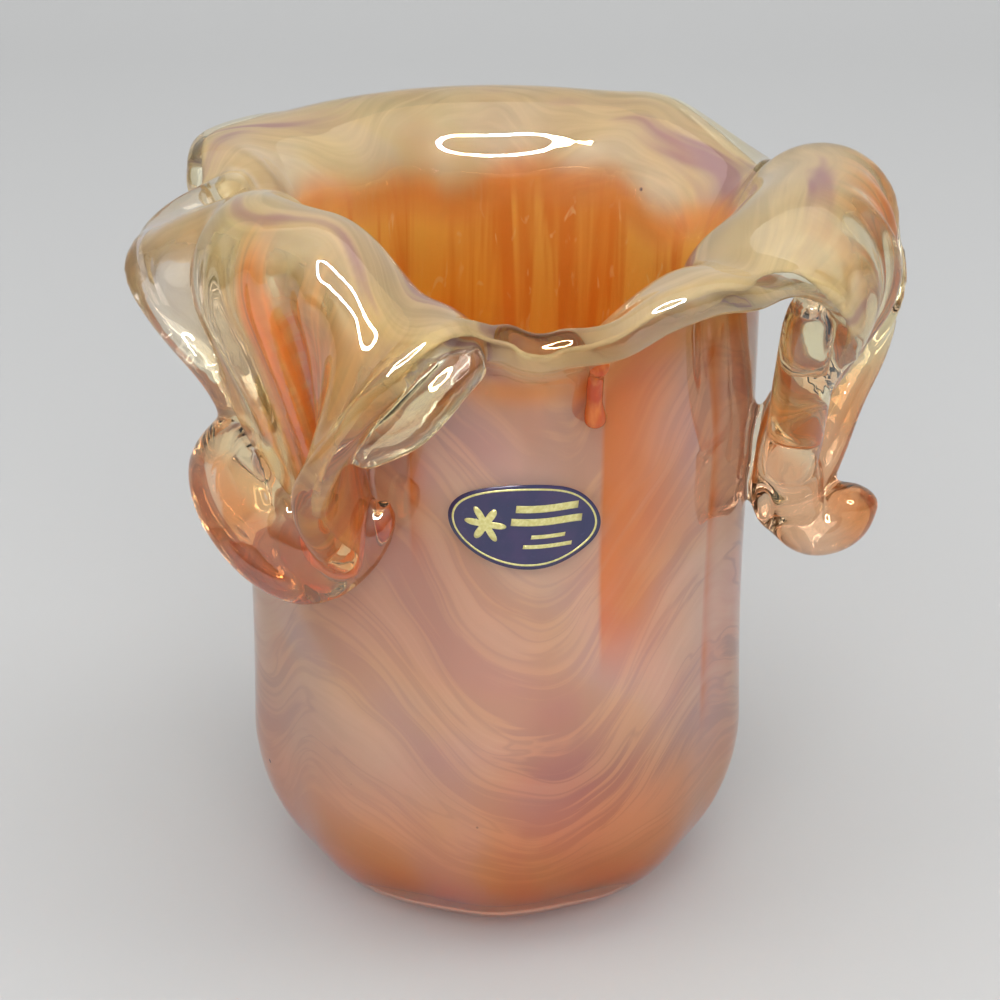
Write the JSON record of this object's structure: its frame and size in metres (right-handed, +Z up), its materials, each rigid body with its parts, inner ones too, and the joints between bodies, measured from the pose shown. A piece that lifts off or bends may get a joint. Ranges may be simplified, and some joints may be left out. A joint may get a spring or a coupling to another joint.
{
  "type": "hand blown art glass vase",
  "caption": "Freeform cased glass vase with a marbled body, a rolled clear lip pulled out into ears that fold over and end in small hooks, and a thick flat foot.",
  "frame": {"origin": "centre of the flat foot, on the surface the vase stands on", "axes": "+Z up the vase's axis, -Y towards the front that carries the label, +X towards the right ear"},
  "size_m": [0.1651, 0.1719, 0.1805],
  "materials": {
    "amber_glass": "gloss",
    "marbled_opal": "gloss",
    "crystal": "gloss",
    "label_foil": "gloss"
  },
  "bodies": {
    "root": {"amber_lining": "amber_glass", "marbled_layer": "marbled_opal", "crystal_casing": "crystal", "rim_lip": "crystal", "ear_front_left": "crystal", "ear_right": "crystal", "ear_back": "crystal", "front_drip": "amber_glass", "label": "label_foil"}
  },
  "joints": []
}
